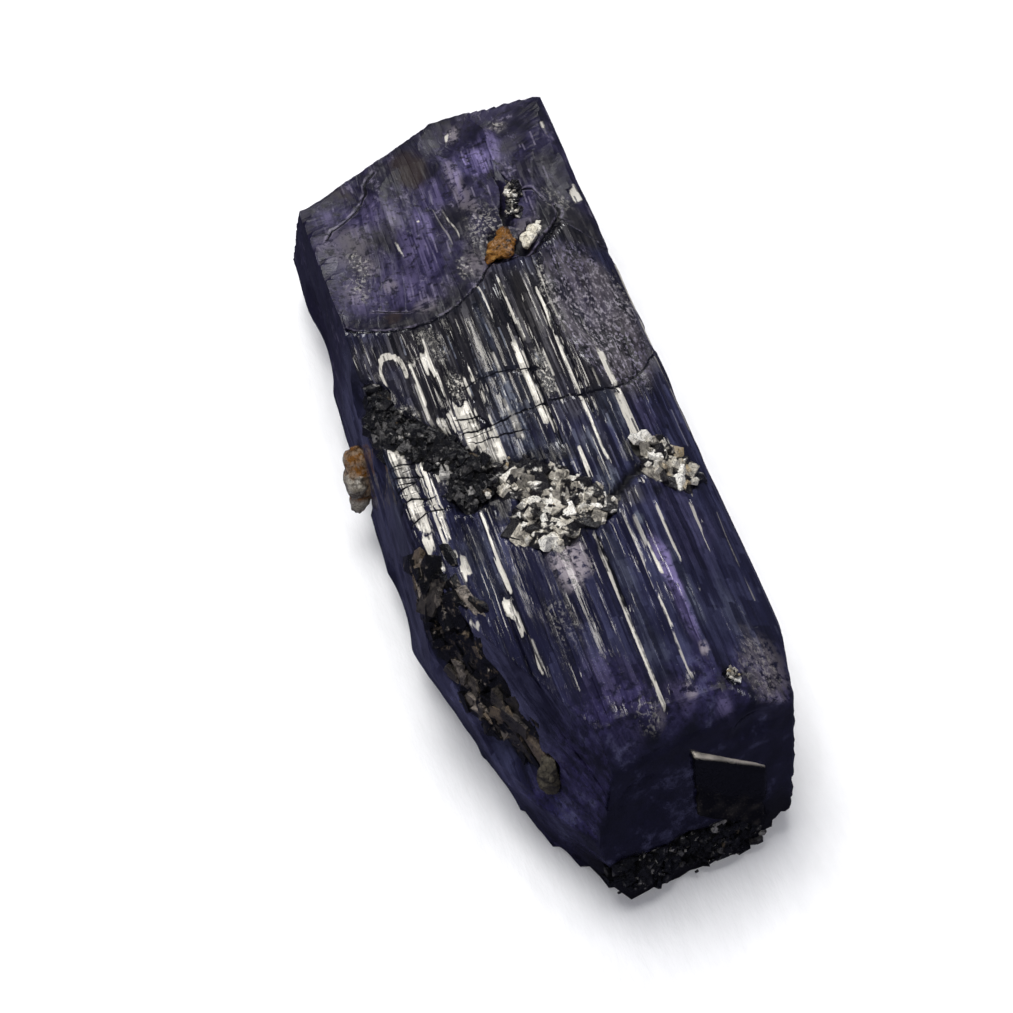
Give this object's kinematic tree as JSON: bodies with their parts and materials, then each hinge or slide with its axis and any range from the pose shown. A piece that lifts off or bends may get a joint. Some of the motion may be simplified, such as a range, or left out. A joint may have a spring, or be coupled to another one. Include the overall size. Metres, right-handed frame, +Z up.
{
  "type": "rough tanzanite crystal",
  "caption": "Rough prismatic gem crystal with striated faces, a broken end, a blunt natural end and mineral grains grown into it, lying on a small flat.",
  "frame": {"origin": "centre of the bounding box, at the level of the flat on which the crystal lies", "axes": "+Y along the crystal towards its broken end, +Z up through the broad striated faces, +X to the side with the steeper striated face"},
  "size_m": [0.0134, 0.0368, 0.0098],
  "materials": {
    "tanzanite": "gloss",
    "calcite": "satin",
    "graphite": "satin",
    "iron_stain": "satin",
    "clear_grain": "satin",
    "brown_rock": "matte"
  },
  "bodies": {
    "root": {"tanzanite_crystal": "tanzanite", "calcite_crust": "calcite", "calcite_knob": "calcite", "cream_grain": "calcite", "pale_vein": "calcite", "small_grain": "calcite", "graphite_patch": "graphite", "graphite_seam": "graphite", "graphite_tip": "graphite", "graphite_plate": "graphite", "iron_stained_grain": "iron_stain", "edge_grain": "clear_grain", "brown_lump": "brown_rock"}
  },
  "joints": []
}
